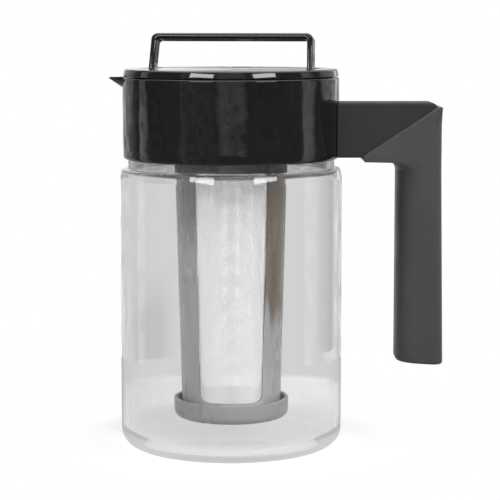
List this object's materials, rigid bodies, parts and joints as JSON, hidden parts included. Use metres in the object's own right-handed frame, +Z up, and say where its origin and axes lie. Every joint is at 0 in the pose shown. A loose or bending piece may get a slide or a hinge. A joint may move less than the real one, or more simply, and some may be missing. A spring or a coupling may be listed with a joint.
{
  "type": "cold brew pitcher",
  "caption": "Clear straight-sided pitcher with a black collar and spout, an offset grip handle, a twist-off lid with a folding bail, and a mesh infuser hung inside.",
  "frame": {"origin": "centre of the jar's flat base, on the surface that it stands on", "axes": "+Z up along the jar's axis, +X from the axis towards the handle, -X towards the spout, -Y towards the viewer of the picture"},
  "size_m": [0.1637, 0.1092, 0.2038],
  "materials": {
    "clear_jar_plastic": "clear and polished",
    "gloss_black_plastic": "high gloss",
    "matte_black_plastic": "satin moulded",
    "grey_silicone": "matte soft touch",
    "pale_silicone": "translucent satin",
    "infuser_plastic": "translucent smoke satin",
    "filter_mesh": "fine woven mesh",
    "pin_steel": "turned"
  },
  "bodies": {
    "pitcher": {"jar": "clear_jar_plastic", "neck_gasket": "pale_silicone", "lock_ring": "matte_black_plastic", "collar": "gloss_black_plastic", "handle_frame": "matte_black_plastic", "grip_sleeve": "grey_silicone", "handle_screw_front": "pin_steel", "handle_screw_back": "pin_steel"},
    "lid_ring": {"lid_seal": "pale_silicone"},
    "lid": {"lid_cover": "gloss_black_plastic", "lid_insert": "gloss_black_plastic", "rim_gasket": "pale_silicone", "bail_pin_left": "pin_steel", "bail_pin_right": "pin_steel", "bail_washer_left": "pale_silicone", "bail_washer_right": "pale_silicone"},
    "bail": {"bail": "gloss_black_plastic"},
    "infuser_ring": {"infuser_gasket": "pale_silicone"},
    "infuser": {"infuser_frame": "infuser_plastic", "infuser_base_ring": "infuser_plastic", "mesh_front": "filter_mesh", "mesh_back": "filter_mesh", "mesh_floor": "filter_mesh"}
  },
  "joints": [
    {"name": "lid_lift", "type": "slide", "parent": "pitcher", "child": "lid_ring", "axis": [0, 0, 1], "range_m": [0, 0.18]},
    {"name": "lid_turn", "type": "hinge", "parent": "lid_ring", "child": "lid", "pos_m": [0, 0, 0.17], "axis": [0, 0, -1], "range_deg": [0, 75]},
    {"name": "bail_fold", "type": "hinge", "parent": "lid", "child": "bail", "pos_m": [0, 0, 0.1842], "axis": [-0.9728, 0.2317, 0], "range_deg": [-14, 76]},
    {"name": "infuser_turn", "type": "hinge", "parent": "lid", "child": "infuser_ring", "pos_m": [0, 0, 0.15], "axis": [0, 0, -1], "range_deg": [0, 90]},
    {"name": "infuser_drop", "type": "slide", "parent": "infuser_ring", "child": "infuser", "axis": [0, 0, -1], "range_m": [0, 0.004]}
  ],
  "couplings": [
    {"joint": "infuser_drop", "follows": "infuser_turn", "m_per_rad": 0.0025465}
  ]
}
